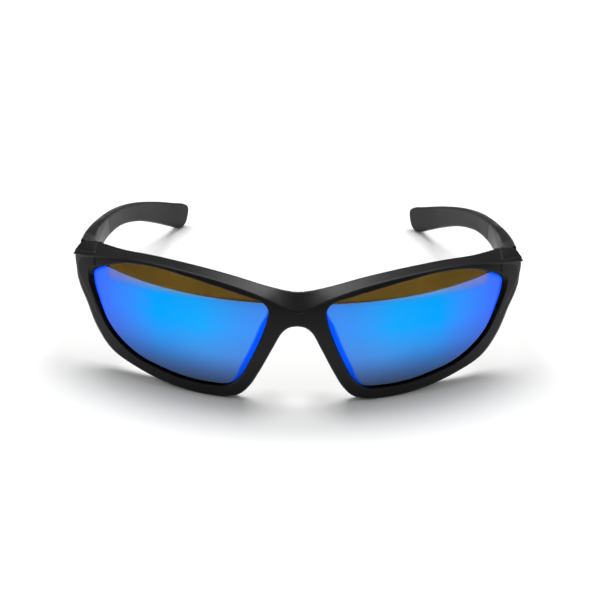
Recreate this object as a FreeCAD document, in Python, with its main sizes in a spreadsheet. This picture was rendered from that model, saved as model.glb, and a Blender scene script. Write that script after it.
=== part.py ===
import FreeCAD, Part
import math
import os

from FreeCAD import Placement, Rotation, Vector

# Wraparound sport sunglasses, standing open on a table: +X to the wearer's left, +Y from the lenses
# back towards the ears, +Z up, in millimetres. The origin is on the table, under the middle of the
# object. The front is drawn upright in its own axes and leans back. The temples are drawn standing on
# the table, and each hinge in axes of its own, with the pin along Z.

doc = FreeCAD.newDocument("SportSunglasses")

# ---- Driving dimensions ---------------------------------------------------------------------------
sheet = doc.addObject("Spreadsheet::Sheet", "Dims")
DIMENSIONS = [
    ("front_lean", 7.0, "lean of the front, top backwards, degrees"),
    ("origin_back", 62.4, "from the front's own axis back to the origin"),
    ("rest_lift", 0.26, "lift that brings the lower rims onto the table"),
    ("wrap_radius", 105.0, "radius of the front seen from above"),
    ("face_radius", 95.0, "radius of the front seen from the side"),
    ("face_middle", 24.0, "height where the front stands furthest forward"),
    ("rim_depth", 4.2, "front to back, square to the surface"),
    ("lens_front", 1.6, "lens face behind the rim face"),
    ("lens_thick", 1.6, "lens thickness"),
    ("groove_deep", 0.8, "how far the lens edge sits in the rim"),
    ("groove_play", 0.03, "clearance all round the lens in its groove"),
    ("brow_proud", 1.2, "brow lip in front of the rim face"),
    ("pad_thick", 3.0, "nose pad thickness"),
    ("pad_high", 13.0, "nose pad height"),
    ("pad_deep", 6.5, "nose pad front to back"),
    ("pad_peg", 0.9, "radius of a nose pad's peg"),
    ("temple_gap", 0.25, "gap between a temple and its end piece"),
    ("grip_start", 64.0, "where the ear grip begins"),
    ("grip_wall", 0.9, "ear grip wall over the temple's core"),
    ("core_end", 112.0, "where the temple's core ends inside the grip"),
    ("hinge_half", 61.9, "hinge axis from the middle plane"),
    ("hinge_back", 33.6, "hinge axis behind the front's own axis"),
    ("hinge_up", 33.0, "middle of the hinge above the table"),
    ("hinge_lean", 14.0, "lean of the hinge axis, top backwards, degrees"),
    ("joint_slant", 21.0, "slant of the end piece's rear face, degrees"),
    ("joint_ahead", 0.55, "inner end of that face ahead of the hinge axis"),
    ("barrel_radius", 1.3, "hinge barrel radius"),
    ("barrel_length", 6.0, "all three hinge barrels"),
    ("middle_barrel", 2.0, "the temple's barrel"),
    ("barrel_gap", 0.08, "gap between barrels along the pin"),
    ("pin_radius", 0.7, "hinge screw shank radius"),
    ("pin_clear", 0.05, "radial clearance of the temple's barrel"),
    ("leaf_inner", 0.4, "temple leaf's inner face outboard of the axis"),
    ("leaf_thick", 0.9, "leaf thickness"),
    ("leaf_reach", 6.6, "temple leaf length from the axis"),
    ("front_reach", 5.4, "front leaf length from the axis"),
    ("swing_clear", 0.2, "clearance round the turning barrels"),
    ("stud_radius", 0.45, "leaf screw shank radius"),
    ("stud_head", 0.8, "leaf screw head radius"),
    ("stud_long", 2.6, "leaf screw length"),
]
for row, (alias, value, note) in enumerate(DIMENSIONS, start=1):
    sheet.set(f"A{row}", alias)
    sheet.set(f"B{row}", str(value))
    sheet.setAlias(f"B{row}", alias)
    sheet.set(f"C{row}", note)
doc.recompute()


def dim(alias):
    return float(sheet.get(alias))


# ---- Outlines, each point set by hand -------------------------------------------------------------
# Front, upright axes: (half width, height). The rim's outside from the nose arch round to the corner.
RIM_OUTER = [(0, 28.3), (2.6, 27.8), (5, 25.9), (8, 20.2), (12, 11.8), (15, 6.2), (18, 2.8), (22, 1.5),
             (29, 1.2), (40, 2.9), (50, 6.1), (58, 10.4), (63, 17), (66.6, 24.4), (69.2, 30), (69.8, 36)]
# The edge that the lens shows in the rim, once round from its lowest point.
LENS_EDGE = [(27.6, 5.2), (21.2, 5.9), (17.8, 8.9), (14.7, 15.2), (12, 22), (10.1, 28), (9.6, 32.6),
             (11.2, 34.7), (15.6, 36.2), (24, 38.4), (34, 40.4), (44, 41.4), (53, 40.5), (60, 37.9),
             (63.6, 35.2), (63.7, 32), (62.2, 26.4), (59, 19), (55, 14), (50, 10.5), (43.5, 8), (35.7, 6.1)]
# The brow at stations across the half width: (half width, lip height, top edge height, top edge's
# depth behind the rim face, height of the bar below its lip).
BROW = [(0, 33.1, 38.0, 3.4, 1.4), (5, 34.8, 38.5, 3.4, 1.4), (10, 37.1, 39.6, 3.4, 1.4),
        (20, 40.2, 41.8, 3.4, 1.4), (32, 42.3, 43.6, 3.4, 1.4), (44, 43.2, 44.3, 3.4, 1.4),
        (54, 42.8, 43.7, 3.4, 1.4), (62, 41.1, 43.0, 3.2, 1.4), (67, 39.9, 42.0, 2.4, 1.4),
        (71.6, 39.2, 39.7, 0.2, 0.6)]
# End piece, front axes: outlines (half width, height) of its section from the brow's corner inwards,
# which is slanted, and of its section behind the joint, which is square to the front.
END_PIECE_FRONT = [(60.0, 43.1), (71.6, 39.6), (69.8, 37.2), (69.2, 30.6), (60.0, 30.2)]
END_PIECE_REAR = [(62.3, 42.0), (69.2, 41.4), (69.5, 38.6), (69.3, 29.4), (62.3, 29.0)]
END_PIECE_CORNER = (60.0, 23.5, 0.49)
END_PIECE_BACK = 35.0
# Temple seen from the side: (distance back, height above the table).
TEMPLE_TOP = [(28, 40.4), (44, 36.8), (60, 33.0), (76, 28.7), (90, 23.7), (104, 17.3), (116, 11.2)]
TEMPLE_TIP = [(119.6, 8.6), (121.2, 5.6), (120.4, 1.8), (118.2, 0.25)]
TEMPLE_BOTTOM = [(114, 1.9), (104, 9.4), (92, 16.6), (78, 22.2), (62, 25.6), (48, 26.9), (28, 27.2)]
# Temple seen from above: (half width, distance back) of its outside face, and its thickness there.
TEMPLE_PLAN = [(69.9, 28, 7.6), (69.4, 37, 7.1), (69.2, 45, 5.2), (68.2, 55, 3.7), (66.5, 66, 3.3),
               (63.6, 79, 3.3), (59.2, 92, 3.3), (53.6, 105, 3.4), (47.4, 116, 3.6), (43.6, 122, 3.6)]
SIDES = [("right", -1), ("left", 1)]
FAR = 60.0

front_rotation = Rotation(Vector(1, 0, 0), -dim("front_lean"))
to_row = Vector(0, -dim("origin_back"), dim("rest_lift"))
front_place = Placement(to_row, front_rotation)
table_place = Placement(Vector(0, -dim("origin_back"), 0), Rotation())


# ---- Building blocks ------------------------------------------------------------------------------
def bind(obj, **expressions):
    for prop, expression in expressions.items():
        obj.setExpression(prop.replace("__", "."), expression)
    return obj


def feature(name, shape, placement=None):
    """A shape of our own, for the curved outlines that no primitive gives."""
    obj = doc.addObject("Part::Feature", name)
    obj.Shape = shape
    if placement:
        obj.Placement = placement
    return obj


def boolean(kind, name, base, tool):
    obj = doc.addObject("Part::" + kind, name)
    obj.Base = base
    obj.Tool = tool
    return obj


def fuse(name, shapes):
    obj = doc.addObject("Part::MultiFuse", name)
    obj.Shapes = shapes
    return obj


def spline(points, closed=False):
    curve = Part.BSplineCurve()
    curve.interpolate(points, PeriodicFlag=closed)
    return curve.toShape()


def extrude(name, wire, direction, length, expression=None, symmetric=False):
    """The prism of a closed outline."""
    obj = doc.addObject("Part::Extrusion", name)
    obj.Base = feature(name + "_outline", Part.Face(wire))
    obj.DirMode = "Custom"
    obj.Dir = direction
    obj.LengthFwd = length
    obj.Symmetric = symmetric
    obj.Solid = True
    if expression:
        obj.setExpression("LengthFwd", expression)
    return obj


def front_shell(name, near, far):
    """The doubly curved layer of the front between two depths behind the rim face."""
    radius, middle, half = dim("face_radius"), dim("face_middle"), 32.0
    arcs = []
    for depth in (near, far):
        bend = radius - depth
        back = radius - math.sqrt(bend ** 2 - half ** 2)
        arcs.append([Vector(0, back, middle - half), Vector(0, depth, middle), Vector(0, back, middle + half)])
    (low_a, mid_a, top_a), (low_b, mid_b, top_b) = arcs
    edges = [Part.Arc(low_a, mid_a, top_a).toBSpline().toShape(), Part.LineSegment(top_a, top_b).toShape(),
             Part.Arc(top_b, mid_b, low_b).toBSpline().toShape(), Part.LineSegment(low_b, low_a).toShape()]
    obj = doc.addObject("Part::Revolution", name)
    obj.Source = feature(name + "_profile", Part.Face(Part.Wire(edges)))
    obj.Axis = Vector(0, 0, 1)
    obj.Angle = 100
    obj.Symmetric = True
    obj.Solid = True
    bind(obj, Base__y="Dims.wrap_radius")
    return obj


def surface_back(half_width, height, depth):
    """How far back the front's surface lies at a place, a given depth behind the rim face."""
    bend = math.sqrt((dim("face_radius") - depth) ** 2 - (height - dim("face_middle")) ** 2)
    ring = dim("wrap_radius") - (dim("face_radius") - bend)
    return dim("wrap_radius") - math.sqrt(ring ** 2 - half_width ** 2)


def lens_wire(side, grow):
    """The lens edge, each point moved outwards by grow, square to the line between its neighbours."""
    points = []
    for number, (x, z) in enumerate(LENS_EDGE):
        before, after = LENS_EDGE[number - 1], LENS_EDGE[(number + 1) % len(LENS_EDGE)]
        along_x, along_z = after[0] - before[0], after[1] - before[1]
        share = grow / math.hypot(along_x, along_z)
        points.append(Vector(side * (x - along_z * share), 0, z + along_x * share))
    return Part.Wire(spline(points, closed=True))


# ---- Front frame ----------------------------------------------------------------------------------
def rim_blank():
    """Both rims and the bridge: the outline cut out of the curved layer."""
    right = [Vector(-a, 0, b) for a, b in reversed(RIM_OUTER)]
    left = [Vector(a, 0, b) for a, b in RIM_OUTER[1:]]
    lower = spline(right + left)
    end = left[-1]
    top = [Vector(a, 0, lip) for a, lip, *others in BROW[:-1]]
    upper_left = spline([end, *reversed(top[1:-1]), top[0]])
    upper_right = spline([Vector(-v.x, 0, v.z) for v in [end, *reversed(top[1:-1]), top[0]]])
    wire = Part.Wire([lower, upper_left, upper_right])
    block = extrude("RimOutline", wire, Vector(0, 1, 0), FAR)
    return boolean("Common", "RimBlank", block, front_shell("RimLayer", 0, dim("rim_depth")))


def brow_bar():
    """The brow: a bar with a sharp lip proud of the rims, and a top face that slopes up and back."""
    sections = []
    stations = [(-station[0], *station[1:]) for station in reversed(BROW[1:])] + BROW
    for number, (x, lip, top, back, tall) in enumerate(stations):
        foot, rear = lip - tall, back + 0.8
        corners = [(lip, -dim("brow_proud")), (top, back), (top - 0.7 * tall, rear), (foot, rear), (foot, 0.1)]
        points = [Vector(x, surface_back(x, z, depth), z) for z, depth in corners]
        sections.append(feature(f"BrowSection{number}", Part.makePolygon(points + points[:1])))
    obj = doc.addObject("Part::Loft", "BrowBar")
    obj.Sections = sections
    obj.Solid = True
    obj.Ruled = True
    return obj


def end_piece(side_name, side):
    """The lug that wraps back from the brow's corner to the temple."""
    start, back, slope = END_PIECE_CORNER
    near = [Vector(side * x, back + slope * (x - start), z) for x, z in END_PIECE_FRONT]
    far = [Vector(side * x, END_PIECE_BACK, z) for x, z in END_PIECE_REAR]
    sections = []
    for number, points in enumerate((near, far)):
        sections.append(feature(f"EndPiece{number}_{side_name}", Part.makePolygon(points + points[:1])))
    obj = doc.addObject("Part::Loft", "EndPiece_" + side_name)
    obj.Sections = sections
    obj.Solid = True
    obj.Ruled = True
    return obj


def lens(side_name, side, grow, near, far, name):
    """The lens blank: its outline, larger than the opening by the groove, cut out of its own layer."""
    block = extrude(name + "Outline_" + side_name, lens_wire(side, grow), Vector(0, 1, 0), FAR)
    return boolean("Common", name + "_" + side_name, block, front_shell(name + "Layer_" + side_name, near, far))


# ---- Hinges, in their own axes: Z along the pin, X outboard, Y back along the temple --------------
def hinge_place(side):
    """Where a hinge's own axes lie. A right hinge is the left one's mirror image, drawn that way."""
    lean = Rotation(Vector(1, 0, 0), -dim("hinge_lean"))
    base = Vector(side * dim("hinge_half"), dim("hinge_back") - dim("origin_back"), dim("hinge_up"))
    return Placement(base, lean)


def box(name, low, high, side):
    obj = doc.addObject("Part::Box", name)
    x_low = min(side * low[0], side * high[0])
    obj.Length, obj.Width, obj.Height = abs(high[0] - low[0]), high[1] - low[1], high[2] - low[2]
    obj.Placement.Base = Vector(x_low, low[1], low[2])
    return obj


def rod(name, radius, low, high, base=(0, 0), along="z", side=1):
    """A round bar along the pin, or sideways outboard where along is x."""
    obj = doc.addObject("Part::Cylinder", name)
    obj.setExpression("Radius", radius)
    obj.Height = high - low
    if along == "z":
        obj.Placement.Base = Vector(base[0], base[1], low)
    else:
        obj.Placement = Placement(Vector(side * low, base[0], base[1]), Rotation(Vector(0, 1, 0), side * 90))
    return obj


def knuckles(kind):
    """The height ranges along the pin of a leaf's barrels."""
    half, middle = dim("barrel_length") / 2, dim("middle_barrel") / 2
    if kind == "temple":
        return [(-middle, middle)]
    return [(-half, -middle - dim("barrel_gap")), (middle + dim("barrel_gap"), half)]


def leaf_screw_spots(kind):
    """A leaf's screws: (distance from the axis, height)."""
    return [(2.9, -1.4), (5.2, 1.4)] if kind == "temple" else [(2.6, -1.6), (4.3, 1.6)]


def leaf_start(kind):
    """How far a leaf's near face is from the pin: the front leaf's lies flush in the end piece's joint
    face."""
    if kind == "temple":
        return dim("leaf_inner")
    slant = math.radians(dim("joint_slant"))
    to_plane = math.cos(slant) * dim("joint_ahead") + math.sin(slant) * dim("leaf_inner")
    return to_plane + dim("temple_gap") / 2


def leaf_place(kind, side):
    """The temple's leaf lies along the temple, and the front's is turned to lie along the joint."""
    if kind == "temple":
        return hinge_place(side)
    turn = Rotation(Vector(0, 0, 1), side * (dim("joint_slant") - 90))
    return hinge_place(side) * Placement(Vector(), turn)


def leaf_screws(kind, side_name, side):
    """Two screws, their heads flush in a leaf, into the plastic behind it."""
    tag = f"{kind}_{side_name}"
    solids = []
    for number, spot in enumerate(leaf_screw_spots(kind)):
        start = leaf_start(kind)
        shank = rod(f"Shank{number}_{tag}", "Dims.stud_radius", start, start + dim("stud_long"), spot, "x", side)
        head = rod(f"Head{number}_{tag}", "Dims.stud_head", start, start + 0.45, spot, "x", side)
        slot = box(f"Slot{number}_{tag}", (start - 0.1, spot[0] - 0.12, spot[1] - FAR),
                   (start + 0.2, spot[0] + 0.12, spot[1] + FAR), side)
        solids.append(boolean("Cut", f"Screw{number}_{tag}", fuse(f"Stud{number}_{tag}", [head, shank]), slot))
    return solids


def leaf(kind, side_name, side):
    """A hinge leaf: its plate, and its barrels round the pin."""
    tag = f"{kind}_{side_name}"
    inner, outer = leaf_start(kind), leaf_start(kind) + dim("leaf_thick")
    half = dim("barrel_length") / 2
    reach = dim("leaf_reach") if kind == "temple" else dim("front_reach")
    near = dim("barrel_radius") + dim("swing_clear")
    solids = [box(f"Plate_{tag}", (inner, near, -half), (outer, reach, half), side)]
    for number, (low, high) in enumerate(knuckles(kind)):
        solids.append(box(f"Neck{number}_{tag}", (inner, 0, low), (outer, near + 0.3, high), side))
        solids.append(rod(f"Barrel{number}_{tag}", "Dims.barrel_radius", low, high))
    bore = "Dims.pin_radius + Dims.pin_clear" if kind == "temple" else "Dims.pin_radius"
    hole = rod(f"Bore_{tag}", bore, -half - 1, half + 1)
    return boolean("Cut", f"LeafBlank_{tag}", fuse(f"LeafSolid_{tag}", solids), hole)


def swing_room(side_name):
    """The round space that the barrels and the pin's head turn in."""
    half = dim("barrel_length") / 2
    return rod(f"SwingRoom_{side_name}", "Dims.barrel_radius + Dims.swing_clear", -half - 0.9, half + 0.9)


def hinge_screw(side_name):
    """The hinge's pin: a screw with a slotted head, from above."""
    half = dim("barrel_length") / 2
    shank = rod(f"PinShank_{side_name}", "Dims.pin_radius", -half, half)
    head = rod(f"PinHead_{side_name}", "Dims.barrel_radius - 0.15", half, half + 0.6)
    slot = box(f"PinSlot_{side_name}", (-FAR, -0.15, half + 0.3), (FAR, 0.15, half + 1), 1)
    return boolean("Cut", "PinSolid_" + side_name, fuse("PinBlank_" + side_name, [shank, head]), slot)


def behind_joint(side_name, side, name, shift):
    """All the space behind the slanted joint between an end piece and its temple, or shifted from it."""
    obj = doc.addObject("Part::Box", f"{name}_{side_name}")
    obj.Length, obj.Width, obj.Height = 2 * FAR, 2 * FAR, 2 * FAR
    turn = Rotation(Vector(0, 0, 1), side * dim("joint_slant"))
    corner = Vector(-FAR, shift, -FAR)
    start = Vector(side * dim("leaf_inner"), -dim("joint_ahead"), 0)
    local = Placement(start, turn) * Placement(corner, Rotation())
    obj.Placement = hinge_place(side) * local
    return obj


# ---- Temples and ear grips ------------------------------------------------------------------------
def between(points, back):
    """The value at a distance back, along straight lines between (distance back, value) points."""
    for (near, value), (far, following) in zip(points, points[1:]):
        if near <= back <= far:
            return value + (following - value) * (back - near) / (far - near)
    raise ValueError(f"{back} is outside the outline")


def temple_blank(side_name, side):
    """A temple's solid: its outline from the side crossed with its outline from above."""
    top, tip, bottom = ([Vector(0, y, z) for y, z in points] for points in (TEMPLE_TOP, TEMPLE_TIP, TEMPLE_BOTTOM))
    upper = spline(top)
    nose = spline([top[-1], *tip, bottom[0]])
    lower = spline(bottom)
    close = Part.LineSegment(bottom[-1], top[0]).toShape()
    side_wire = Part.Wire([upper, nose, lower, close])
    outer = [Vector(side * x, y, 0) for x, y, thick in TEMPLE_PLAN]
    inner = [Vector(side * (x - thick), y, 0) for x, y, thick in reversed(TEMPLE_PLAN)]
    plan_wire = Part.Wire([spline(outer), Part.LineSegment(outer[-1], inner[0]).toShape(), spline(inner),
                           Part.LineSegment(inner[-1], outer[0]).toShape()])
    profile = extrude(f"TempleSide_{side_name}", side_wire, Vector(side, 0, 0), 80)
    plan = extrude(f"TemplePlan_{side_name}", plan_wire, Vector(0, 0, 1), 80)
    return boolean("Common", f"TempleBlank_{side_name}", profile, plan)


def temple_core(side_name, side):
    """The temple's bar inside the ear grip, square edged, a grip's wall thinner all round."""
    wall = dim("grip_wall")
    outside = [(y, x) for x, y, thick in TEMPLE_PLAN]
    inside = [(y, x - thick) for x, y, thick in TEMPLE_PLAN]
    bottom = TEMPLE_BOTTOM[::-1]
    sections = []
    steps = 6
    start, length = dim("grip_start") - 5, dim("core_end") - dim("grip_start") + 5
    for number in range(steps + 1):
        y = start + length * number / steps
        x_low, x_high = between(inside, y) + wall, between(outside, y) - wall
        z_low, z_high = between(bottom, y) + 1.5 * wall, between(TEMPLE_TOP, y) - 1.5 * wall
        corners = [(x_low, z_low), (x_high, z_low), (x_high, z_high), (x_low, z_high), (x_low, z_low)]
        ring = Part.makePolygon([Vector(side * x, y, z) for x, z in corners])
        sections.append(feature(f"CoreSection{number}_{side_name}", ring))
    obj = doc.addObject("Part::Loft", "Core_" + side_name)
    obj.Sections = sections
    obj.Solid = True
    obj.Ruled = True
    return obj


def nose_pad(side_name, side):
    """A soft pad on a short peg, on the back of the rim beside the nose."""
    pad = doc.addObject("Part::Ellipsoid", f"PadBody_{side_name}")
    bind(pad, Radius1="Dims.pad_high / 2", Radius2="Dims.pad_thick / 2", Radius3="Dims.pad_deep / 2")
    tilt = Rotation(Vector(0, 0, 1), side * 24) * Rotation(Vector(0, 1, 0), side * -22)
    pad.Placement = Placement(Vector(side * 11.2, 8.4, 19.5), tilt)
    peg = rod(f"PadPeg_{side_name}", "Dims.pad_peg", 0, 4.6)
    peg.Placement = Placement(Vector(side * 10.8, 3.4, 19.5), Rotation(Vector(1, 0, 0), -90))
    return fuse("PadSolid_" + side_name, [pad, peg])


# ---- Assembly -------------------------------------------------------------------------------------
parts = {}


def placed(obj, placement):
    """A stand-alone copy of a solid, set down in the row's axes."""
    doc.recompute()
    return feature(obj.Name + "_placed", obj.Shape, placement * obj.Placement)


def keep(name, obj):
    obj.Label = name
    parts[name] = obj
    return obj


front = fuse("FrontBlank", [rim_blank(), brow_bar(), end_piece("right", -1), end_piece("left", 1)])
for side_name, side in SIDES:
    opening = extrude("Opening_" + side_name, lens_wire(side, 0), Vector(0, 1, 0), FAR)
    front = boolean("Cut", "FrontOpen_" + side_name, front, opening)
    lens_near, lens_far = dim("lens_front"), dim("lens_front") + dim("lens_thick")
    play = dim("groove_play")
    disc = lens(side_name, side, dim("groove_deep"), lens_near, lens_far, "Lens")
    groove = lens(side_name, side, dim("groove_deep") + play, lens_near - play, lens_far + play, "Groove")
    front = boolean("Cut", "FrontGrooved_" + side_name, front, groove)
    pad = nose_pad(side_name, side)
    front = boolean("Cut", "FrontPegged_" + side_name, front, pad)
    keep("lens_" + side_name, placed(disc, front_place))
    keep("nose_pad_" + side_name, placed(pad, front_place))
front = placed(front, front_place)

for side_name, side in SIDES:
    place = hinge_place(side)
    front_leaf = leaf("front", side_name, side)
    temple_leaf = leaf("temple", side_name, side)
    front_studs = leaf_screws("front", side_name, side)
    temple_studs = leaf_screws("temple", side_name, side)
    front_leaf = placed(boolean("Cut", "FrontLeaf_" + side_name, front_leaf,
                                fuse("FrontStuds_" + side_name, front_studs)), leaf_place("front", side))
    temple_leaf = placed(boolean("Cut", "TempleLeaf_" + side_name, temple_leaf,
                                 fuse("TempleStuds_" + side_name, temple_studs)), place)
    pin = placed(hinge_screw(side_name), place)
    room = placed(swing_room(side_name), place)
    front_stud_group = placed(doc.getObject("FrontStuds_" + side_name), leaf_place("front", side))
    temple_stud_group = placed(doc.getObject("TempleStuds_" + side_name), place)

    blank = placed(temple_blank(side_name, side), table_place)
    core = placed(temple_core(side_name, side), table_place)
    grip_zone = doc.addObject("Part::Box", "GripZone_" + side_name)
    grip_zone.Length, grip_zone.Width, grip_zone.Height = 160, 80, 80
    bind(grip_zone, Placement__Base__y="Dims.grip_start - Dims.origin_back")
    grip_zone.Placement.Base = Vector(-80, dim("grip_start") - dim("origin_back"), -10)

    behind = behind_joint(side_name, side, "TempleZone", dim("temple_gap") / 2)
    shaft = boolean("Common", "Shaft_" + side_name, blank, behind)
    shaft = boolean("Cut", "ShaftFront_" + side_name, shaft, grip_zone)
    shaft = fuse("ShaftCored_" + side_name, [shaft, core])
    for number, tool in enumerate((room, temple_leaf, temple_stud_group)):
        shaft = boolean("Cut", f"ShaftCut{number}_{side_name}", shaft, tool)
    sleeve = boolean("Common", "Sleeve_" + side_name, blank, grip_zone)
    sleeve = boolean("Cut", "SleeveHollow_" + side_name, sleeve, core)

    lug_zone = doc.addObject("Part::Box", "LugZone_" + side_name)
    lug_zone.Length, lug_zone.Width, lug_zone.Height = 30, 40, 60
    lug_zone.Placement.Base = Vector(min(side * 55, side * 85), 25 - dim("origin_back"), -5)
    beyond = behind_joint(side_name, side, "Beyond", -dim("temple_gap") / 2)
    lug_waste = boolean("Common", "LugWaste_" + side_name, lug_zone, beyond)
    for number, tool in enumerate((lug_waste, room, front_leaf, front_stud_group)):
        front = boolean("Cut", f"FrontCut{number}_{side_name}", front, tool)

    keep("front_hinge_" + side_name, front_leaf)
    keep("temple_hinge_" + side_name, temple_leaf)
    keep("hinge_screw_" + side_name, pin)
    keep("front_hinge_screws_" + side_name, front_stud_group)
    keep("temple_hinge_screws_" + side_name, temple_stud_group)
    keep("temple_" + side_name, shaft)
    keep("ear_grip_" + side_name, sleeve)
keep("front_frame", front)
doc.recompute()

# ---- Checks and export ----------------------------------------------------------------------------
for obj in doc.Objects:
    if "Invalid" in obj.State or "Error" in obj.State:
        raise RuntimeError(f"{obj.Name} failed: {obj.State}")
for name, obj in parts.items():
    if obj.Shape.isNull() or not obj.Shape.isValid():
        raise RuntimeError(f"{name} has no valid shape")

os.makedirs("parts", exist_ok=True)
for name, obj in sorted(parts.items()):
    obj.Shape.exportStep(f"parts/{name}.step")
    box_ = obj.Shape.optimalBoundingBox()
    print(f"{name:28s} solids {len(obj.Shape.Solids)} volume {obj.Shape.Volume:9.1f} "
          f"x {box_.XMin:7.2f} {box_.XMax:7.2f} y {box_.YMin:7.2f} {box_.YMax:7.2f} z {box_.ZMin:6.2f} {box_.ZMax:6.2f}")
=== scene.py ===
import math

import bpy
import numpy as np
from mathutils import Matrix, Vector


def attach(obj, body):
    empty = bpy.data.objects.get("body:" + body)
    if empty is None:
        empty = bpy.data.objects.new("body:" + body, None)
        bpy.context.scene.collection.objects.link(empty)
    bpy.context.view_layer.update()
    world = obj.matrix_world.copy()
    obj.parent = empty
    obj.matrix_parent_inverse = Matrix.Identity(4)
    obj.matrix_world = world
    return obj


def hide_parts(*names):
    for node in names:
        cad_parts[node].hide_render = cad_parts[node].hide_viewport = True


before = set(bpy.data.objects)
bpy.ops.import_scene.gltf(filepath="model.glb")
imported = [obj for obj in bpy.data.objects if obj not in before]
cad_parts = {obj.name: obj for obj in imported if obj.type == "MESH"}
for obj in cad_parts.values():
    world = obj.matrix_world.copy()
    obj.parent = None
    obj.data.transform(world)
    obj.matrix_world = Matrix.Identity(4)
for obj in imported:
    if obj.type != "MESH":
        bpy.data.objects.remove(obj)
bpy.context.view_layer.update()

# Shapes are worked out in millimetres and become metres when a mesh is made. The front is drawn upright
# in its own axes, as its surface is simplest there, and the temples in table axes. Both start at the
# middle of the front's face, on the table. Depth is the distance behind the rims' front face.
MM = 0.001
SIDES = (("right", -1), ("left", 1))

# ---- Dimensions in mm, most of them as in the CAD model ---------------------------------------------
LEAN = math.radians(7.0)
ORIGIN_BACK = 62.4
REST_LIFT = 0.26
WRAP_RADIUS = 105.0
FACE_RADIUS = 95.0
FACE_MIDDLE = 24.0
RIM_DEPTH = 4.2
LENS_NEAR = 0.9
LENS_FAR = 3.2
LENS_HIDDEN = 0.8
COAT_THICK = 0.05
GROOVE_PLAY = 0.03
HINGE = (61.9, 33.6, 33.0)
HINGE_LEAN = math.radians(14.0)
JOINT_SLANT = math.radians(21.0)
LEAF_INNER = 0.4
JOINT_AHEAD = 0.55
JOINT_GAP = 0.125
GRIP_START = 64.0
SEAM_HALF = 0.05
CORE_INSET = 0.9
CORE_PLAY = 0.05
CORE_END = 70.0
SWING_RADIUS = 1.5
SWING_HALF = 3.9
RIM_GROW = 0.75
BROW_PROUD = 1.2
BROW_THICK = 3.5
BROW_UNDERCUT = 0.30
END_START = 61.5
END_CORNER = (71.8, 27.1)
END_FACING = (0.829, 0.559)
LUG_INNER = 62.65
LUG_OUTER = 69.75
LUG_FOOT = 30.6
FLARE_FOOT = 35.0
FLARE_SLOPE = 1.83
FLOOR_GAP = 0.03
NOTCH = (64.0, 25.3, 0.75)

# ---- Outlines: (half width, height) in mm in the front's own axes. Each began as a measured outline, was
# thinned to the points that its shape needs, and was then adjusted. ----------------------------
RIM_OUTER = [(0, 28.2), (2.6, 27.7), (5, 25.8), (8, 20.2), (12, 11.8), (15, 6.2), (18, 2.8), (22, 1.4),
             (29, 1.1), (40, 2.7), (50, 5.9), (58.4, 10.1), (63.2, 16.8), (66.3, 24.5), (68.8, 30),
             (69.4, 36)]
RIM_UPPER = [(67, 39.6), (62, 40.8), (54, 42.3), (44, 42.7), (32, 41.8), (20, 39.6), (10, 36.3),
             (5, 33.7), (0, 32)]
LENS_LIP = [(27.6, 4.8), (21, 5.4), (17.1, 8.8), (14.0, 15.2), (11.1, 22.2), (9.0, 28.6), (8.6, 32.6),
            (10.6, 35), (15.6, 36.6), (24, 38.7), (34, 40.6), (44, 41.7), (53.4, 40.9), (60.7, 38.1),
            (65.2, 35.6), (65.6, 32.4), (64, 27.2), (60.5, 19), (56.1, 13.8), (50, 9.6), (43.5, 7.4),
            (35.7, 5.5)]
LENS_EDGE = [(27.6, 4.9), (21.2, 5.6), (17.5, 9), (14.4, 15.3), (11.5, 22.1), (9.4, 28.4), (9, 32.5),
             (11, 34.8), (15.7, 36.2), (24, 38.3), (34, 40.3), (44, 41.3), (53, 40.4), (60, 37.8),
             (63.7, 35.1), (63.8, 32), (62.4, 26.4), (59.5, 18.6), (55.5, 13.5), (50.2, 9.9),
             (43.5, 7.5), (35.7, 5.6)]
# Brow stations: half width, lip height, top edge height, top edge's depth behind the rim face.
BROW = [(0, 32.8, 37.8, 3.4), (5, 34.5, 38.4, 3.4), (10, 36.9, 39.4, 3.4), (20, 40.1, 41.7, 3.4),
        (32, 42.3, 43.4, 3.4), (44, 43.2, 44.0, 3.4), (54, 42.8, 43.5, 3.5), (62, 41.2, 42.6, 5.0),
        (66, 40.2, 42.2, 4.2), (69.2, 39.6, 42.05, 4.0), (71.6, 39.2, 41.95, 4.0)]
# Temple from the side (distance back, height), and from above (half width, distance back, thickness).
TEMPLE_TOP = [(28, 40.4), (44, 37.0), (60, 33.2), (76, 28.9), (90, 23.9), (104, 17.3), (114, 11.7)]
TEMPLE_TIP = [(118.4, 9.2), (120.1, 7.3), (119.9, 4.4), (118.6, 1.3), (116.6, 0.35)]
TEMPLE_BOTTOM = [(113, 2.7), (104, 8.9), (92, 15.9), (78, 21.7), (62, 25.3), (48, 26.8), (28, 27.2)]
TEMPLE_PLAN = [(69.5, 28, 6.8), (69.1, 37, 6.4), (69.0, 45, 4.8), (68.2, 55, 3.7), (66.5, 66, 3.3),
               (63.6, 79, 3.3), (59.2, 92, 3.3), (53.6, 105, 3.4), (47.4, 116, 3.6), (43.6, 122, 3.6)]
# Where the temple's inner top edge begins to slope away: distance back, half width.
SLOPE_EDGE = [(28, 67.6), (44, 67.2), (54, 65.5), (64, 62.0), (75, 57.0), (122, 30.0)]


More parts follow.
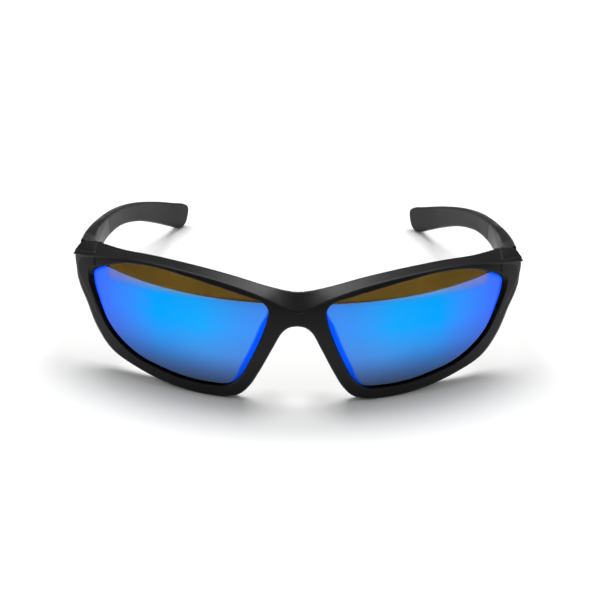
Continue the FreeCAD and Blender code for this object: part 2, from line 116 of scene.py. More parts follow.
# ---- Curves and distances -------------------------------------------------------------------------
def smooth_line(points, steps=10, closed=False):
    """A curve through the points, with even-handed corners (centripetal Catmull-Rom)."""
    p = np.array(points, float)
    if closed:
        p = np.vstack([p[-1], p, p[0], p[1]])
    else:
        p = np.vstack([2 * p[0] - p[1], p, 2 * p[-1] - p[-2]])
    made = []
    for a, b, c, d in zip(p, p[1:], p[2:], p[3:]):
        t1 = np.linalg.norm(b - a) ** 0.5
        t2 = t1 + np.linalg.norm(c - b) ** 0.5
        t3 = t2 + np.linalg.norm(d - c) ** 0.5
        t = np.linspace(t1, t2, steps, endpoint=False)[:, None]
        ab = a + (b - a) * t / t1
        bc = b + (c - b) * (t - t1) / (t2 - t1)
        cd = c + (d - c) * (t - t2) / (t3 - t2)
        abc = ab + (bc - ab) * t / t2
        bcd = bc + (cd - bc) * (t - t1) / (t3 - t1)
        made.append(abc + (bcd - abc) * (t - t1) / (t2 - t1))
    made = np.vstack(made)
    return made if closed else np.vstack([made, p[-2]])


def outline_distance(u, v, outline):
    """Distance from points to a closed outline, negative inside it."""
    u, v = np.broadcast_arrays(u, v)
    nearest = np.full(u.shape, 1e9)
    inside = np.zeros(u.shape, bool)
    for (ax, ay), (bx, by) in zip(outline, np.roll(outline, -1, axis=0)):
        ex, ey = bx - ax, by - ay
        px, py = u - ax, v - ay
        t = np.clip((px * ex + py * ey) / (ex * ex + ey * ey + 1e-12), 0, 1)
        nearest = np.minimum(nearest, (px - ex * t) ** 2 + (py - ey * t) ** 2)
        if ay != by:
            inside ^= ((ay > v) != (by > v)) & (u < ax + ex * (v - ay) / ey)
    distance = np.sqrt(nearest)
    return np.where(inside, -distance, distance)


class Field:
    """A closed outline's distance, worked out once on a fine grid and read off between its points."""

    def __init__(self, outline, step=0.1, margin=4.0):
        outline = np.array(outline)
        self.step = step
        self.low = outline.min(0) - margin
        self.size = np.ceil((outline.max(0) + margin - self.low) / step).astype(int) + 1
        u = self.low[0] + step * np.arange(self.size[0])[:, None]
        v = self.low[1] + step * np.arange(self.size[1])[None, :]
        self.table = outline_distance(u, v, outline)

    def __call__(self, u, v):
        s = np.clip((u - self.low[0]) / self.step, 0, self.size[0] - 1.001)
        t = np.clip((v - self.low[1]) / self.step, 0, self.size[1] - 1.001)
        i, j = s.astype(int), t.astype(int)
        s, t = s - i, t - j
        low = self.table[i, j] * (1 - s) + self.table[i + 1, j] * s
        high = self.table[i, j + 1] * (1 - s) + self.table[i + 1, j + 1] * s
        return low * (1 - t) + high * t


def both(a, b, radius):
    """Where both solids are, with a rounded edge between them."""
    u, v = np.maximum(radius + a, 0), np.maximum(radius + b, 0)
    return np.minimum(-radius, np.maximum(a, b)) + np.hypot(u, v)


def either(a, b, radius):
    """Where either solid is, with a hollow fillet between them."""
    u, v = np.maximum(radius - a, 0), np.maximum(radius - b, 0)
    return np.maximum(radius, np.minimum(a, b)) - np.hypot(u, v)


# ---- Axes -----------------------------------------------------------------------------------------
def front_to_table(x, y, z):
    """The front leans back by a few degrees, resting on its lower rims."""
    c, s = math.cos(LEAN), math.sin(LEAN)
    return x, y * c + z * s, z * c - y * s + REST_LIFT


def table_to_row(p):
    return p - [0, ORIGIN_BACK, 0]


def front_to_row(p):
    return table_to_row(np.stack(front_to_table(*p.T), 1))


def hinge_axes(x, y, z):
    """Table place to a hinge's own axes: outboard, back along the temple, up the pin."""
    back, up = y - HINGE[1], z - HINGE[2]
    c, s = math.cos(HINGE_LEAN), math.sin(HINGE_LEAN)
    return x - HINGE[0], back * c - up * s, back * s + up * c


def behind_joint(x, y, z):
    """Distance behind the slanted joint plane, in table axes."""
    out, back, up = hinge_axes(x, y, z)
    return math.cos(JOINT_SLANT) * (back + JOINT_AHEAD) - math.sin(JOINT_SLANT) * (out - LEAF_INNER)


def swing_room(x, y, z):
    """The round space about the pin that the barrels turn in."""
    out, back, up = hinge_axes(x, y, z)
    return np.maximum(np.hypot(out, back) - SWING_RADIUS, np.abs(up) - SWING_HALF)


slope_edge = np.array(SLOPE_EDGE)
top_line = smooth_line(TEMPLE_TOP + TEMPLE_TIP[:1])


def inner_slope(x, y, z):
    """The broad slope along the temple's inner top edge, in table axes."""
    edge = np.interp(y, slope_edge[:, 0], slope_edge[:, 1])
    height = np.interp(y, top_line[:, 0], top_line[:, 1])
    return (z - height) * 0.72 - (x - edge) * 0.69


# ---- The front's solid ----------------------------------------------------------------------------
def depth_behind_face(x, y, z):
    ring = np.hypot(x, WRAP_RADIUS - y)
    return FACE_RADIUS - np.hypot(ring - (WRAP_RADIUS - FACE_RADIUS), z - FACE_MIDDLE)


def face_back(x, z, depth):
    """Where the layer at a depth behind the rim face lies, front to back."""
    bend = np.sqrt((FACE_RADIUS - depth) ** 2 - (z - FACE_MIDDLE) ** 2)
    return WRAP_RADIUS - np.sqrt((WRAP_RADIUS - FACE_RADIUS + bend) ** 2 - x ** 2)


half_outline = smooth_line(RIM_OUTER + RIM_UPPER)
rim_field = Field(np.vstack([half_outline, (half_outline * [-1, 1])[::-1]]))
lip_field = Field(smooth_line(LENS_LIP, closed=True))
edge_field = Field(smooth_line(LENS_EDGE, closed=True))
brow_line = smooth_line([(-a, *rest) for a, *rest in BROW[:0:-1]] + BROW)


def rim_part(x, z, depth):
    rim = both(rim_field(x, z) - RIM_GROW, -depth, 1.1)
    return both(rim, depth - RIM_DEPTH, 1.0)


def brow_shape(x, z, depth):
    """The brow's lip height and back depth at a half width, and the distance above its sloped top."""
    lip, top, back = (np.interp(x, brow_line[:, 0], brow_line[:, i]) for i in (1, 2, 3))
    run, rise = back + BROW_PROUD, top - lip
    facet = ((z - lip) * run - (depth + BROW_PROUD) * rise) / np.hypot(run, rise)
    return lip, back, facet


def end_side(x, y):
    """The flat outer side of the end piece."""
    return (x - END_CORNER[0]) * END_FACING[0] + (y - END_CORNER[1]) * END_FACING[1]


def brow_part(x, y, z, depth):
    lip, back, facet = brow_shape(x, z, depth)
    under = (lip - 0.3 - z) - (depth + BROW_PROUD) * BROW_UNDERCUT
    rear = depth - back - 0.1 - 6 * np.clip((x - END_START) / 5, 0, 1)
    brow = both(both(facet, rear, 0.7), under / math.hypot(1.0, BROW_UNDERCUT), 0.14)
    brow = both(brow, -depth - BROW_PROUD, 0.15)
    return np.maximum(both(brow, end_side(x, y), 0.9), lip - BROW_THICK - z)


def flare_part(x, y, z, depth):
    """The end piece's outer side, which widens upwards to the brow's tip."""
    facet = brow_shape(x, z, depth)[2]
    flare = ((x - LUG_OUTER) * FLARE_SLOPE - (z - FLARE_FOOT)) / math.hypot(1.0, FLARE_SLOPE)
    flare = both(both(flare, end_side(x, y), 0.9), facet, 0.4)
    return np.maximum(np.maximum(flare, 0.3 - depth), 64 - x)


def lug_part(x, y, z, depth):
    """The block that carries the hinge, its inner top edge sloped a little above the temple's."""
    facet = brow_shape(x, z, depth)[2]
    lug = both(both(x - LUG_OUTER, LUG_INNER - x, 0.5), facet, 0.5)
    lug = both(both(lug, LUG_FOOT - z, 0.8), 0.4 - depth, 0.3)
    slope = inner_slope(*front_to_table(x, y, z)) - 1.2
    return both(both(lug, end_side(x, y), 0.4), slope, 0.6)


def lens_seat(x, z, depth):
    """The opening, which narrows to the lens's edge and widens behind it, and the lens's groove."""
    along = np.clip(depth / LENS_NEAR, 0, 1)
    opening = lip_field(x, z) * (1 - along) + edge_field(x, z) * along
    opening = opening - np.clip(depth - LENS_FAR, 0, 2) * 0.45
    groove = np.maximum(LENS_NEAR - GROOVE_PLAY - depth, depth - LENS_FAR - GROOVE_PLAY)
    return opening, np.maximum(edge_field(x, z) - LENS_HIDDEN - 0.15, groove)


def front_solid(x, y, z):
    depth = depth_behind_face(x, y, z)
    table = front_to_table(x, y, z)
    corner = np.clip((x - 60) / 9, 0, 1)
    solid = either(rim_part(x, z, depth), brow_part(x, y, z, depth), 0.05 + 0.9 * corner)
    solid = either(solid, lug_part(x, y, z, depth), 0.4)
    solid = either(solid, flare_part(x, y, z, depth), 0.8)
    solid = both(solid, behind_joint(*table) + JOINT_GAP, 0.12)
    solid = both(solid, FLOOR_GAP - table[2], 0.3)
    opening, groove = lens_seat(x, z, depth)
    solid = both(solid, -opening, 0.25)
    solid = np.maximum(solid, -groove)
    return np.maximum(solid, -swing_room(*table))


# ---- The temples' solids --------------------------------------------------------------------------
upper, lower = smooth_line(TEMPLE_TOP), smooth_line(TEMPLE_BOTTOM)
tip_curve = smooth_line([TEMPLE_TOP[-1], *TEMPLE_TIP, TEMPLE_BOTTOM[0]])
side_field = Field(np.vstack([upper, tip_curve[1:-1], lower]))
plan_outer = smooth_line([(x, y) for x, y, thick in TEMPLE_PLAN])
plan_inner = smooth_line([(x - thick, y) for x, y, thick in TEMPLE_PLAN])
plan_field = Field(np.vstack([plan_outer, plan_inner[::-1]]))


def temple_whole(x, y, z):
    """The side outline crossed with the plan, its inner top edge cut to a broad slope at the hinge."""
    whole = both(side_field(y, z) - 0.15, plan_field(x, y), 1.1)
    return both(whole, inner_slope(x, y, z), 1.6)


def temple_solid(x, y, z):
    """The arm up to the seam, and the core that goes on inside the ear grip."""
    whole = temple_whole(x, y, z)
    arm = both(whole, JOINT_GAP - behind_joint(x, y, z), 0.2)
    arm = both(arm, y - GRIP_START + SEAM_HALF, 0.12)
    core = np.maximum(whole + CORE_INSET, y - CORE_END)
    core = np.maximum(core, GRIP_START - 2 - y)
    return np.maximum(np.minimum(arm, core), -swing_room(x, y, z))


def grip_solid(x, y, z):
    """The soft sleeve over the core, with the round notch under its front end."""
    whole = temple_whole(x, y, z)
    room = np.maximum(whole + CORE_INSET - CORE_PLAY, y - CORE_END - CORE_PLAY)
    sleeve = np.maximum(whole, -room)
    notch = NOTCH[2] - np.hypot(y - NOTCH[0], z - NOTCH[1])
    return both(both(sleeve, GRIP_START + SEAM_HALF - y, 0.12), notch, 0.1)


# ---- Solids to meshes -----------------------------------------------------------------------------
def mesh_solid(solid, low, high, step):
    """Vertices and quads round a solid: in each grid cell that its surface crosses, the place that fits
    the surface where it crosses the cell's edges best, so that creases stay sharp."""
    axes = [np.arange(a - step, b + 2 * step, step) for a, b in zip(low, high)]
    value = solid(*np.meshgrid(*axes, indexing="ij", sparse=True))
    inside = value < 0
    cells = tuple(n - 1 for n in inside.shape)
    origin = np.array([a[0] for a in axes])
    edges = []
    for axis in range(3):
        one, two = (axis + 1) % 3, (axis + 2) % 3
        starts, ends = [slice(None)] * 3, [slice(None)] * 3
        starts[axis], ends[axis] = slice(None, -1), slice(1, None)
        spots = np.argwhere(inside[tuple(starts)] != inside[tuple(ends)])
        for side in (one, two):
            spots = spots[(spots[:, side] > 0) & (spots[:, side] < cells[side])]
        along = (np.arange(3) == axis).astype(int)
        near, far = value[tuple(spots.T)], value[tuple((spots + along).T)]
        points = origin + (spots + (near / (near - far))[:, None] * along) * step
        around = [spots - (a * (np.arange(3) == one) + b * (np.arange(3) == two))
                  for a, b in ((1, 1), (0, 1), (0, 0), (1, 0))]
        around = np.stack([np.ravel_multi_index(tuple(c.T), cells) for c in around], 1)
        edges.append((points, np.where((near < 0)[:, None], around, around[:, ::-1])))
    points = np.vstack([p for p, a in edges])
    around = np.vstack([a for p, a in edges])
    here = solid(*points.T)
    nudge = 0.004
    slope = np.stack([solid(*(points + nudge * np.eye(3)[axis]).T) - here for axis in range(3)], 1) / nudge
    slope /= np.linalg.norm(slope, axis=1)[:, None] + 1e-9
    used, number = np.unique(around, return_inverse=True)
    quads = number.reshape(around.shape)

    def gather(values):
        return sum(np.bincount(quads[:, corner], values, len(used)) for corner in range(4))

    count = gather(np.ones(len(points)))
    middle = np.stack([gather(points[:, i]) / count for i in range(3)], 1)
    reach = (slope * points).sum(1)
    normal_matrix = np.empty((len(used), 3, 3))
    right = np.empty((len(used), 3))
    for i in range(3):
        right[:, i] = gather(slope[:, i] * reach)
        for j in range(3):
            normal_matrix[:, i, j] = gather(slope[:, i] * slope[:, j])
    right -= np.einsum("nij,nj->ni", normal_matrix, middle)
    normal_matrix += 0.05 * np.eye(3)
    move = np.linalg.solve(normal_matrix, right[:, :, None])[:, :, 0]
    centre = origin + (np.stack(np.unravel_index(used, cells), 1) + 0.5) * step
    vertices = np.clip(middle + move, centre - 0.55 * step, centre + 0.55 * step)
    return vertices, quads


def mirrored(vertices, quads):
    return vertices * [-1, 1, 1], quads[:, ::-1]


def make_piece(name, vertices, faces, materials, smooth=True):
    mesh = bpy.data.meshes.new(name)
    mesh.from_pydata((vertices * MM).tolist(), [], [list(face) for face in faces])
    mesh.validate()
    mesh.update()
    obj = bpy.data.objects.new(name, mesh)
    bpy.context.scene.collection.objects.link(obj)
    for material in materials:
        mesh.materials.append(material)
    if smooth:
        mesh.polygons.foreach_set("use_smooth", np.ones(len(mesh.polygons), bool))
    return obj


def weld_middle(vertices, quads):
    """A half solid whose grid ran past x = 0 joined to its mirror image along the middle plane."""
    keep = vertices[quads].mean(1)[:, 0] > 0
    quads = quads[keep]
    used = np.unique(quads)
    back = np.full(len(vertices), -1)
    back[used] = np.arange(len(used))
    vertices, quads = vertices[used].copy(), back[quads]
    edges = np.vstack([quads[:, [i, (i + 1) % 4]] for i in range(4)])
    keys = np.sort(edges, 1)
    unique, counts = np.unique(keys, axis=0, return_counts=True)
    rim = np.unique(unique[counts == 1])
    vertices[rim, 0] = 0
    other, flipped = mirrored(vertices, quads)
    twin = np.arange(len(vertices)) + len(vertices)
    twin[rim] = rim
    return np.vstack([vertices, other]), np.vstack([quads, twin[flipped]])


# ---- Materials ------------------------------------------------------------------------------------
def new_material(name):
    material = bpy.data.materials.new(name)
    material.use_nodes = True
    nodes = material.node_tree.nodes
    return material, nodes, material.node_tree.links, nodes["Principled BSDF"]


def object_coordinates(nodes):
    return nodes.new("ShaderNodeTexCoord").outputs["Object"]


def noise(nodes, links, place, scale, detail=2.0):
    texture = nodes.new("ShaderNodeTexNoise")
    texture.inputs["Scale"].default_value = scale
    texture.inputs["Detail"].default_value = detail
    links.new(place, texture.inputs["Vector"])
    return texture.outputs["Fac"]


def remap(nodes, links, value, low, high, out_low, out_high):
    node = nodes.new("ShaderNodeMapRange")
    for socket, number in zip(("From Min", "From Max", "To Min", "To Max"), (low, high, out_low, out_high)):
        node.inputs[socket].default_value = number
    links.new(value, node.inputs["Value"])
    return node.outputs["Result"]


def ramp(nodes, links, value, stops):
    node = nodes.new("ShaderNodeValToRGB")
    band = node.color_ramp
    while len(band.elements) < len(stops):
        band.elements.new(0.5)
    for element, (place, colour) in zip(band.elements, stops):
        element.position = place
        element.color = (*colour, 1)
    links.new(value, node.inputs["Fac"])
    return node.outputs["Color"]


def grained(name, dark, light, rough_low, rough_high, grain_scale, grain_depth):
    """Moulded plastic or rubber: a fine spark-eroded grain, and faint handling marks in the gloss."""
    material, nodes, links, shader = new_material(name)
    place = object_coordinates(nodes)
    broad = noise(nodes, links, place, 55, 3)
    fine = noise(nodes, links, place, grain_scale, 3)
    links.new(ramp(nodes, links, broad, [(0.3, dark), (0.7, light)]), shader.inputs["Base Color"])
    links.new(remap(nodes, links, broad, 0.3, 0.7, rough_low, rough_high), shader.inputs["Roughness"])
    bump = nodes.new("ShaderNodeBump")
    bump.inputs["Strength"].default_value = 0.6
    bump.inputs["Distance"].default_value = grain_depth
    links.new(fine, bump.inputs["Height"])
    links.new(bump.outputs["Normal"], shader.inputs["Normal"])
    shader.inputs["Specular IOR Level"].default_value = 0.2
    return material


plastic = grained("satin_black_plastic", (0.0024, 0.0024, 0.003), (0.0042, 0.0042, 0.005),
                  0.30, 0.38, grain_scale=5200, grain_depth=0.00002)
rubber = grained("grip_rubber", (0.006, 0.0058, 0.0058), (0.009, 0.0088, 0.0088),
                 0.42, 0.52, grain_scale=3800, grain_depth=0.00003)
pad_rubber = grained("pad_rubber", (0.008, 0.008, 0.008), (0.012, 0.012, 0.012),
                     0.5, 0.6, grain_scale=3000, grain_depth=0.00003)


def metal(name, colour, rough_low, rough_high):
    """Metal with faint drawn streaks."""
    material, nodes, links, shader = new_material(name)
    place = object_coordinates(nodes)
    stretch = nodes.new("ShaderNodeMapping")
    stretch.inputs["Scale"].default_value = (1, 1, 12)
    links.new(place, stretch.inputs["Vector"])
    streaks = noise(nodes, links, stretch.outputs["Vector"], 900, 4)
    darker = tuple(0.8 * c for c in colour)
    colours = ramp(nodes, links, streaks, [(0.3, darker), (0.7, colour)])
    links.new(colours, shader.inputs["Base Color"])
    links.new(remap(nodes, links, streaks, 0.3, 0.7, rough_low, rough_high), shader.inputs["Roughness"])
    shader.inputs["Metallic"].default_value = 1.0
    return material


hinge_metal = metal("black_oxide_steel", (0.045, 0.045, 0.05), 0.35, 0.5)
screw_metal = metal("plain_steel", (0.42, 0.42, 0.43), 0.25, 0.4)


def mixed(nodes, links, factor, a, b):
    """Two colours, each a socket or a colour, mixed by a factor socket."""
    node = nodes.new("ShaderNodeMix")
    node.data_type = "RGBA"
    links.new(factor, node.inputs["Factor"])
    for socket, colour in (("A", a), ("B", b)):
        if isinstance(colour, tuple):
            node.inputs[socket].default_value = (*colour, 1)
        else:
            links.new(colour, node.inputs[socket])
    return node.outputs["Result"]


def stored(nodes, name):
    """A value kept at each point of the mesh."""
    node = nodes.new("ShaderNodeAttribute")
    node.attribute_name = name
    return node.outputs["Fac"]


# Upper lens colours: blue is the coat's own; the shift from cyan in the middle to violet outwards is
# painted reflection colour.
COAT_UPPER = [(0.0, (0.055, 0.26, 0.88)), (0.16, (0.040, 0.30, 0.90)), (0.36, (0.008, 0.37, 0.96)),
              (0.62, (0.0, 0.35, 1.0)), (0.80, (0.035, 0.24, 1.0)), (1.0, (0.045, 0.13, 0.98))]
# Lower lens colours, darker and greyer: painted reflection of the floor shaded by the glasses.
COAT_LOWER_SHADE_REFLECTION = [(0.0, (0.085, 0.20, 0.58)), (0.3, (0.070, 0.23, 0.62)), (0.6, (0.045, 0.21, 0.62)),
              (0.8, (0.06, 0.16, 0.60)), (1.0, (0.07, 0.10, 0.55))]
# Bluish grey at the lens foot: painted reflection of the contact shadow under the glasses.
COAT_FOOT_SHADE_REFLECTION = (0.10, 0.155, 0.32)
# Olive along the lens's lowest edge: painted reflection of the shaded floor by the lower rim.
COAT_RIM_SHADE_REFLECTION = (0.10, 0.12, 0.09)
COAT_EDGE = (0.0, 0.085, 0.95)
COAT_BEHIND = (0.34, 0.24, 0.11)


def mirror_coat():
    """Blue mirror, its blue the coat's own, with a painted shift of the reflection's colour from cyan in
    the middle to violet outwards. Darker and greyer low down, with an olive line at the very bottom:
    painted reflection of the shaded floor under the glasses. A deep blue line where the coat thickens at
    the lens edge, and thinner at the top, where the tint shows. Its face towards the eye of the wearer is
    bronze."""
    material, nodes, links, shader = new_material("blue_mirror_coat")
    place = nodes.new("ShaderNodeSeparateXYZ")
    links.new(object_coordinates(nodes), place.inputs["Vector"])
    wide = nodes.new("ShaderNodeMath")
    wide.operation = "ABSOLUTE"
    links.new(place.outputs["X"], wide.inputs[0])
    # Across the lens, cyan to violet outwards: painted change of the reflection's colour with angle.
    across = remap(nodes, links, wide.outputs["Value"], 0.010, 0.064, 0, 1)
    upper = ramp(nodes, links, across, COAT_UPPER)
    # Towards the bottom the colours turn to the darker lower set: painted reflection of shaded floor.
    lower = ramp(nodes, links, across, COAT_LOWER_SHADE_REFLECTION)
    height = remap(nodes, links, place.outputs["Z"], 0.012, 0.025, 0, 1)
    colours = mixed(nodes, links, height, lower, upper)
    # Near the bottom of the lens, painted reflection of the floor's contact shadow.
    foot = remap(nodes, links, place.outputs["Z"], 0.0045, 0.0125, 0, 1)
    colours = mixed(nodes, links, foot, COAT_FOOT_SHADE_REFLECTION, colours)
    # Olive line at the very bottom of the lens: painted reflection of shade.
    rim_shade_reflection = remap(nodes, links, place.outputs["Z"], 0.0035, 0.0062, 0, 1)
    colours = mixed(nodes, links, rim_shade_reflection, COAT_RIM_SHADE_REFLECTION, colours)
    colours = mixed(nodes, links, stored(nodes, "deep_band"), colours, COAT_EDGE)
    colours = mixed(nodes, links, stored(nodes, "inner_face"), colours, COAT_BEHIND)
    links.new(colours, shader.inputs["Base Color"])
    alpha = remap(nodes, links, stored(nodes, "thin_coat"), 0, 1, 0.95, 0.55)
    links.new(alpha, shader.inputs["Alpha"])
    smear = noise(nodes, links, object_coordinates(nodes), 60, 3)
    links.new(remap(nodes, links, smear, 0.35, 0.65, 0.015, 0.035), shader.inputs["Roughness"])
    shader.inputs["Metallic"].default_value = 1.0
    return material


def tinted_lens():
    material, nodes, links, shader = new_material("amber_tint")
    tone = noise(nodes, links, object_coordinates(nodes), 20, 1)
    colours = ramp(nodes, links, tone, [(0.3, (0.50, 0.28, 0.045)), (0.7, (0.54, 0.31, 0.05))])
    links.new(colours, shader.inputs["Base Color"])
    shader.inputs["Transmission Weight"].default_value = 1.0
    shader.inputs["Roughness"].default_value = 0.02
    shader.inputs["IOR"].default_value = 1.08
    return material


coat_material, lens_material = mirror_coat(), tinted_lens()

# ---- Front frame, temples and grips ------------------------------------------------------------------
STEP = 0.28
half_front = mesh_solid(front_solid, (-1.0, -2.0, 0.5), (72.5, 37.0, 45.5), STEP)
vertices, quads = weld_middle(*half_front)
front_piece = make_piece("front_frame_shell", front_to_row(vertices), quads, [plastic])
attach(front_piece, "front")
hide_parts("front_frame")

arm_mesh = mesh_solid(temple_solid, (60.0, 30.0, 22.0), (71.0, 71.0, 41.0), STEP)
grip_mesh = mesh_solid(grip_solid, (38.0, 63.0, -0.5), (69.0, 123.0, 33.0), STEP)
TEMPLE_PIECES = ((arm_mesh, "temple_arm_", plastic, "temple_", "frame_plastic"),
                 (grip_mesh, "ear_grip_sleeve_", rubber, "ear_grip_", "grip_rubber"))
for side_name, side in SIDES:
    for made, title, material, node, slot in TEMPLE_PIECES:
        vertices, quads = made if side > 0 else mirrored(*made)
        piece = make_piece(title + side_name, table_to_row(vertices), quads, [material])
        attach(piece, side_name + "_temple")
        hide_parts(node + side_name)


# ---- Lenses ---------------------------------------------------------------------------------------
def grown(outline, grow):
    along = np.roll(outline, -1, axis=0) - np.roll(outline, 1, axis=0)
    along /= np.linalg.norm(along, axis=1)[:, None]
    return outline + grow * np.stack([-along[:, 1], along[:, 0]], 1)


def curved_slab(outline, near, far, rings=36):
    """A lens: rings from the middle of an outline to its edge, on two layers of the front's surface."""
    middle = outline.mean(0)
    count = len(outline)
    share = np.sin(np.linspace(0, 1, rings + 1)[1:] * math.pi / 2)
    flat = np.vstack([middle[None]] + [middle + (outline - middle) * s for s in share])
    size = len(flat)
    layers = []
    for depth in (near, far):
        layers.append(np.stack([flat[:, 0], face_back(flat[:, 0], flat[:, 1], depth), flat[:, 1]], 1))
    faces = []
    for i in range(count):
        j = (i + 1) % count
        ring = [(0, 1 + i, 1 + j)]
        for inner in range(1, 1 + (rings - 1) * count, count):
            outer = inner + count
            ring.append((inner + i, outer + i, outer + j, inner + j))
        faces += ring
        faces += [tuple(size + corner for corner in face[::-1]) for face in ring]
        faces.append((outer + i, outer + size + i, outer + size + j, outer + j))
    return np.vstack(layers), faces, flat


def coat_shades(x, z):
    """How strong the deep blue edge line is, and how thin the coat, over the lens."""
    inward = -edge_field(x, z)
    nasal = 1.7 * np.clip((32.5 - z) / 5, 0, 1) * np.clip((z - 4) / 8, 0, 1)
    width = np.where(x < 24, nasal, np.where((x > 54) & (z > 16), 0.7, -1.0))
    deep = np.clip((width - inward) / 0.3, 0, 1)
    thin = np.clip((z - 33.4) / 2.2, 0, 1) * np.clip((60 - x) / 2, 0, 1)
    return deep, thin


def store(piece, name, values):
    attribute = piece.data.attributes.new(name, "FLOAT", "POINT")
    attribute.data.foreach_set("value", values.astype(np.float32))


def lens_piece(title, side_name, side, near, far, material):
    """One lens layer, in the front's groove; returns it with its layers' flat outline places."""
    vertices, faces, flat = curved_slab(lens_outline, near, far)
    if side < 0:
        vertices, faces = vertices * [-1, 1, 1], [face[::-1] for face in faces]
    piece = make_piece(title + side_name, front_to_row(vertices), faces, [material])
    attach(piece, "front")
    return piece, flat


lens_outline = grown(smooth_line(LENS_EDGE, 12, closed=True), LENS_HIDDEN)
coat_far = LENS_NEAR + COAT_THICK
for side_name, side in SIDES:
    tint, flat = lens_piece("lens_", side_name, side, coat_far + 0.01, LENS_FAR, lens_material)
    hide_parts("lens_" + side_name)
    coat, flat = lens_piece("mirror_coat_", side_name, side, LENS_NEAR, coat_far, coat_material)
    deep, thin = coat_shades(flat[:, 0], flat[:, 1])
    store(coat, "deep_band", np.tile(deep, 2))
    store(coat, "thin_coat", np.tile(thin, 2))
    store(coat, "inner_face", np.repeat([0.0, 1.0], len(flat)))


# ---- Nose pads ------------------------------------------------------------------------------------
PAD_HALF = (1.3, 2.9, 6.0)
PAD_PLACE = (11.2, 8.4, 19.5)
PAD_TURN = 24.0
PAD_SPLAY = 22.0


def pad_shape(count=40, rings=24):
    """A soft teardrop pad, flattened and wider at its foot."""
    points = []
    for r in range(rings + 1):
        up = math.cos(math.pi * r / rings)
        ring = math.sin(math.pi * r / rings)
        for i in range(count):
            turn = 2 * math.pi * i / count
            flat = math.copysign(abs(math.cos(turn)) ** 0.75, math.cos(turn))
            wide = math.sin(turn) * ring ** 0.7 * (1 - 0.18 * up)
            points.append((PAD_HALF[0] * flat * ring ** 0.8, PAD_HALF[1] * wide, PAD_HALF[2] * up))
    faces = []
    for low in range(0, rings * count, count):
        for i in range(count):
            j = (i + 1) % count
            faces.append((low + i, low + j, low + count + j, low + count + i))
    return np.array(points), faces


pad_points, pad_faces = pad_shape()
for side_name, side in SIDES:
    turn = Matrix.Rotation(math.radians(PAD_TURN * side), 3, "Z")
    turn = turn @ Matrix.Rotation(math.radians(-PAD_SPLAY * side), 3, "Y")
    turn = Matrix.Rotation(-LEAN, 3, "X") @ turn
    middle = front_to_row(np.array([[side * PAD_PLACE[0], *PAD_PLACE[1:]]]))
    vertices = pad_points @ np.array(turn).T + middle
    piece = make_piece("nose_pad_soft_" + side_name, vertices, pad_faces, [pad_rubber])
    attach(piece, "front")
    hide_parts("nose_pad_" + side_name)

# ---- CAD hinges and screws: only their materials and soft edges --------------------------------------
for name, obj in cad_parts.items():
    if obj.hide_render:
        continue
    material = screw_metal if "screw" in name else hinge_metal
    obj.data.materials.clear()
    obj.data.materials.append(material)
    bevel = obj.modifiers.new("soft_edges", "BEVEL")
    bevel.width = 0.00006
    bevel.segments = 2
    bevel.limit_method = "ANGLE"
    bevel.angle_limit = math.radians(40)


# ---- Floor, light and camera ------------------------------------------------------------------------
def plane(name, centre, size, normal, material):
    """A flat rectangle, its width and height about its normal."""
    normal = Vector(normal).normalized()
    mesh = bpy.data.meshes.new(name)
    w, h = size[0] / 2, size[1] / 2
    mesh.from_pydata([(-w, -h, 0), (w, -h, 0), (w, h, 0), (-w, h, 0)], [], [(0, 1, 2, 3)])
    obj = bpy.data.objects.new(name, mesh)
    obj.matrix_world = Matrix.Translation(centre) @ normal.to_track_quat("Z", "Y").to_matrix().to_4x4()
    bpy.context.scene.collection.objects.link(obj)
    mesh.materials.append(material)
    return obj


def floor_material():
    material, nodes, links, shader = new_material("pale_worktop")
    place = object_coordinates(nodes)
    tone = noise(nodes, links, place, 3, 2)
    colours = ramp(nodes, links, tone, [(0.3, (0.80, 0.80, 0.79)), (0.7, (0.84, 0.84, 0.83))])
    links.new(colours, shader.inputs["Base Color"])
    shader.inputs["Roughness"].default_value = 0.85
    shader.inputs["Specular IOR Level"].default_value = 0.0
    return material


plane("worktop", (0, 0.35, 0), (4.4, 4.4), (0, 0, 1), floor_material())


SCREEN_HEIGHT = 260
SCREEN_HALF = 300
SCREEN_REACH = 440
SCREEN_START = 60


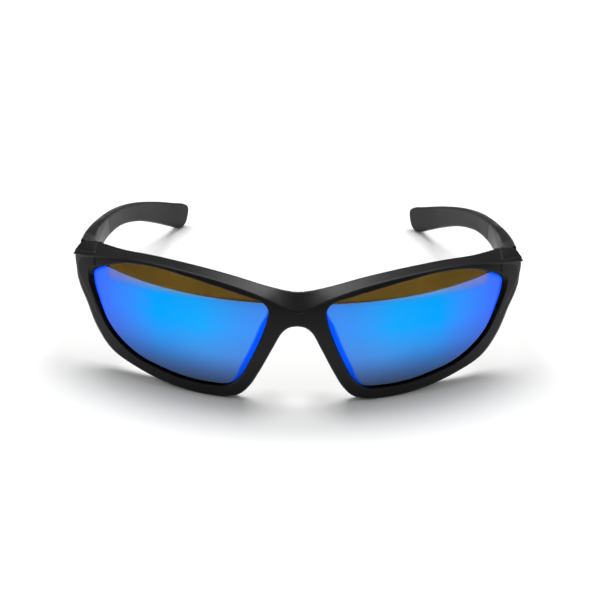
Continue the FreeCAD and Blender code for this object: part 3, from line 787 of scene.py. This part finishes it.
def dark_surround():
    """A low black card, half an ellipse round the front of the glasses, that the lens tops mirror."""
    material, nodes, links, shader = new_material("black_screen")
    tone = noise(nodes, links, object_coordinates(nodes), 8, 2)
    colours = ramp(nodes, links, tone, [(0.3, (0.002, 0.002, 0.002)), (0.7, (0.004, 0.004, 0.004))])
    links.new(colours, shader.inputs["Base Color"])
    shader.inputs["Specular IOR Level"].default_value = 0.0
    turns = np.linspace(0, math.pi, 25)
    base = [(-SCREEN_HALF * math.cos(t), -SCREEN_START - SCREEN_REACH * math.sin(t)) for t in turns]
    corners = [(x, y, z) for x, y in base for z in (0, SCREEN_HEIGHT)]
    faces = [(i, i + 2, i + 3, i + 1) for i in range(0, len(corners) - 2, 2)]
    screen = make_piece("dark_screen", np.array(corners, float), faces, [material], smooth=False)
    screen.visible_camera = False
    screen.visible_diffuse = False
    screen.visible_shadow = False
    screen.visible_transmission = False


dark_surround()


def softbox(name, place, target, size, power):
    light = bpy.data.lights.new(name, "AREA")
    light.shape = "RECTANGLE"
    light.size, light.size_y = size
    light.energy = power
    obj = bpy.data.objects.new(name, light)
    obj.location = place
    obj.rotation_euler = (Vector(target) - Vector(place)).to_track_quat("-Z", "Y").to_euler()
    bpy.context.scene.collection.objects.link(obj)
    return obj


softbox("top_soft", (0, 0.42, 1.15), (0, 0, 0), (1.05, 0.66), 18)
softbox("left_soft", (-1.3, 0.0, 0.58), (0, 0, 0.03), (0.9, 1.1), 8.5)
softbox("right_soft", (1.3, 0.0, 0.58), (0, 0, 0.03), (0.9, 1.1), 8.5)

world = bpy.data.worlds.new("studio")
world.use_nodes = True
world.node_tree.nodes["Background"].inputs["Color"].default_value = (0.95, 0.97, 1.0, 1)
world.node_tree.nodes["Background"].inputs["Strength"].default_value = 0.2
bpy.context.scene.world = world

CAMERA_DISTANCE, CAMERA_UP, CAMERA_TURN, CAMERA_ROLL = 0.450, 31.0, -0.14, 1.0
TARGET = Vector((0.00069, (10 - ORIGIN_BACK) * MM, 0.0333))
up, turn = math.radians(CAMERA_UP), math.radians(CAMERA_TURN)
back = Vector((math.sin(turn) * math.cos(up), -math.cos(turn) * math.cos(up), math.sin(up)))
camera_data = bpy.data.cameras.new("camera")
camera_data.lens = 89.1
camera_data.sensor_width = 36
camera = bpy.data.objects.new("camera", camera_data)
look = (-back).to_track_quat("-Z", "Y").to_matrix().to_4x4()
roll = Matrix.Rotation(math.radians(CAMERA_ROLL), 4, "Z")
camera.matrix_world = Matrix.Translation(TARGET + back * CAMERA_DISTANCE) @ look @ roll
bpy.context.scene.collection.objects.link(camera)
bpy.context.scene.camera = camera
bpy.context.scene.view_settings.view_transform = "Standard"
